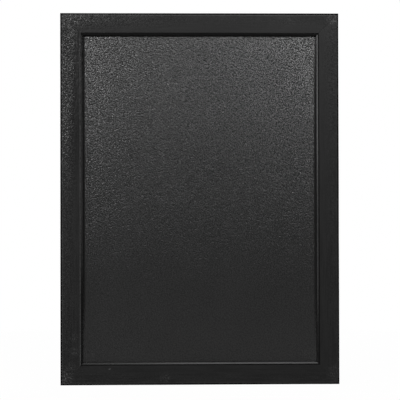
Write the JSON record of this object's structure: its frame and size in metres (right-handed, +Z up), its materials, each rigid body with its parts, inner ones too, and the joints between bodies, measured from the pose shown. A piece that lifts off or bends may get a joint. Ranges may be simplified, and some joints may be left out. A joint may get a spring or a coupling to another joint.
{
  "type": "framed chalkboard",
  "caption": "Blank wall chalkboard in a mitred black wooden frame, with ring hangers on the back so that it hangs upright or on its long side.",
  "frame": {"origin": "middle of the top rail's back face, on the wall plane", "axes": "+X to the right as seen from the writing side, +Y into the wall, +Z up; the writing side faces -Y"},
  "size_m": [0.3, 0.016, 0.4],
  "materials": {
    "black_lacquer": "thin black lacquer, satin, open wood pores showing",
    "chalk_surface": "matt black chalk coat with a fine orange-peel grain, on fibreboard",
    "hardboard": "raw brown hardboard",
    "zinc_steel": "zinc-plated sheet and wire"
  },
  "bodies": {
    "board": {"top_rail": "black_lacquer", "right_stile": "black_lacquer", "bottom_rail": "black_lacquer", "left_stile": "black_lacquer", "chalk_panel": "chalk_surface", "backing_board": "hardboard", "v_nail_bottom_left_1": "zinc_steel", "v_nail_bottom_left_2": "zinc_steel", "v_nail_top_left_1": "zinc_steel", "v_nail_top_left_2": "zinc_steel", "v_nail_top_right_1": "zinc_steel", "v_nail_top_right_2": "zinc_steel", "v_nail_bottom_right_1": "zinc_steel", "v_nail_bottom_right_2": "zinc_steel", "framers_point_top_1": "zinc_steel", "framers_point_top_2": "zinc_steel", "framers_point_right_1": "zinc_steel", "framers_point_right_2": "zinc_steel", "framers_point_right_3": "zinc_steel", "framers_point_right_4": "zinc_steel", "framers_point_bottom_1": "zinc_steel", "framers_point_bottom_2": "zinc_steel", "framers_point_left_1": "zinc_steel", "framers_point_left_2": "zinc_steel", "framers_point_left_3": "zinc_steel", "framers_point_left_4": "zinc_steel", "portrait_hanger_strap": "zinc_steel", "landscape_hanger_strap": "zinc_steel", "portrait_hanger_rivet": "zinc_steel", "landscape_hanger_rivet": "zinc_steel"},
    "portrait_ring": {"portrait_hanger_ring": "zinc_steel"},
    "landscape_ring": {"landscape_hanger_ring": "zinc_steel"}
  },
  "joints": [
    {"name": "portrait_ring_hinge", "type": "hinge", "parent": "board", "child": "portrait_ring", "pos_m": [0, -0.00295, -0.03295], "axis": [1, 0, 0], "range_deg": [0, 180]},
    {"name": "landscape_ring_hinge", "type": "hinge", "parent": "board", "child": "landscape_ring", "pos_m": [0.1081, -0.00295, -0.19105], "axis": [0, 0, -1], "range_deg": [0, 180]}
  ]
}
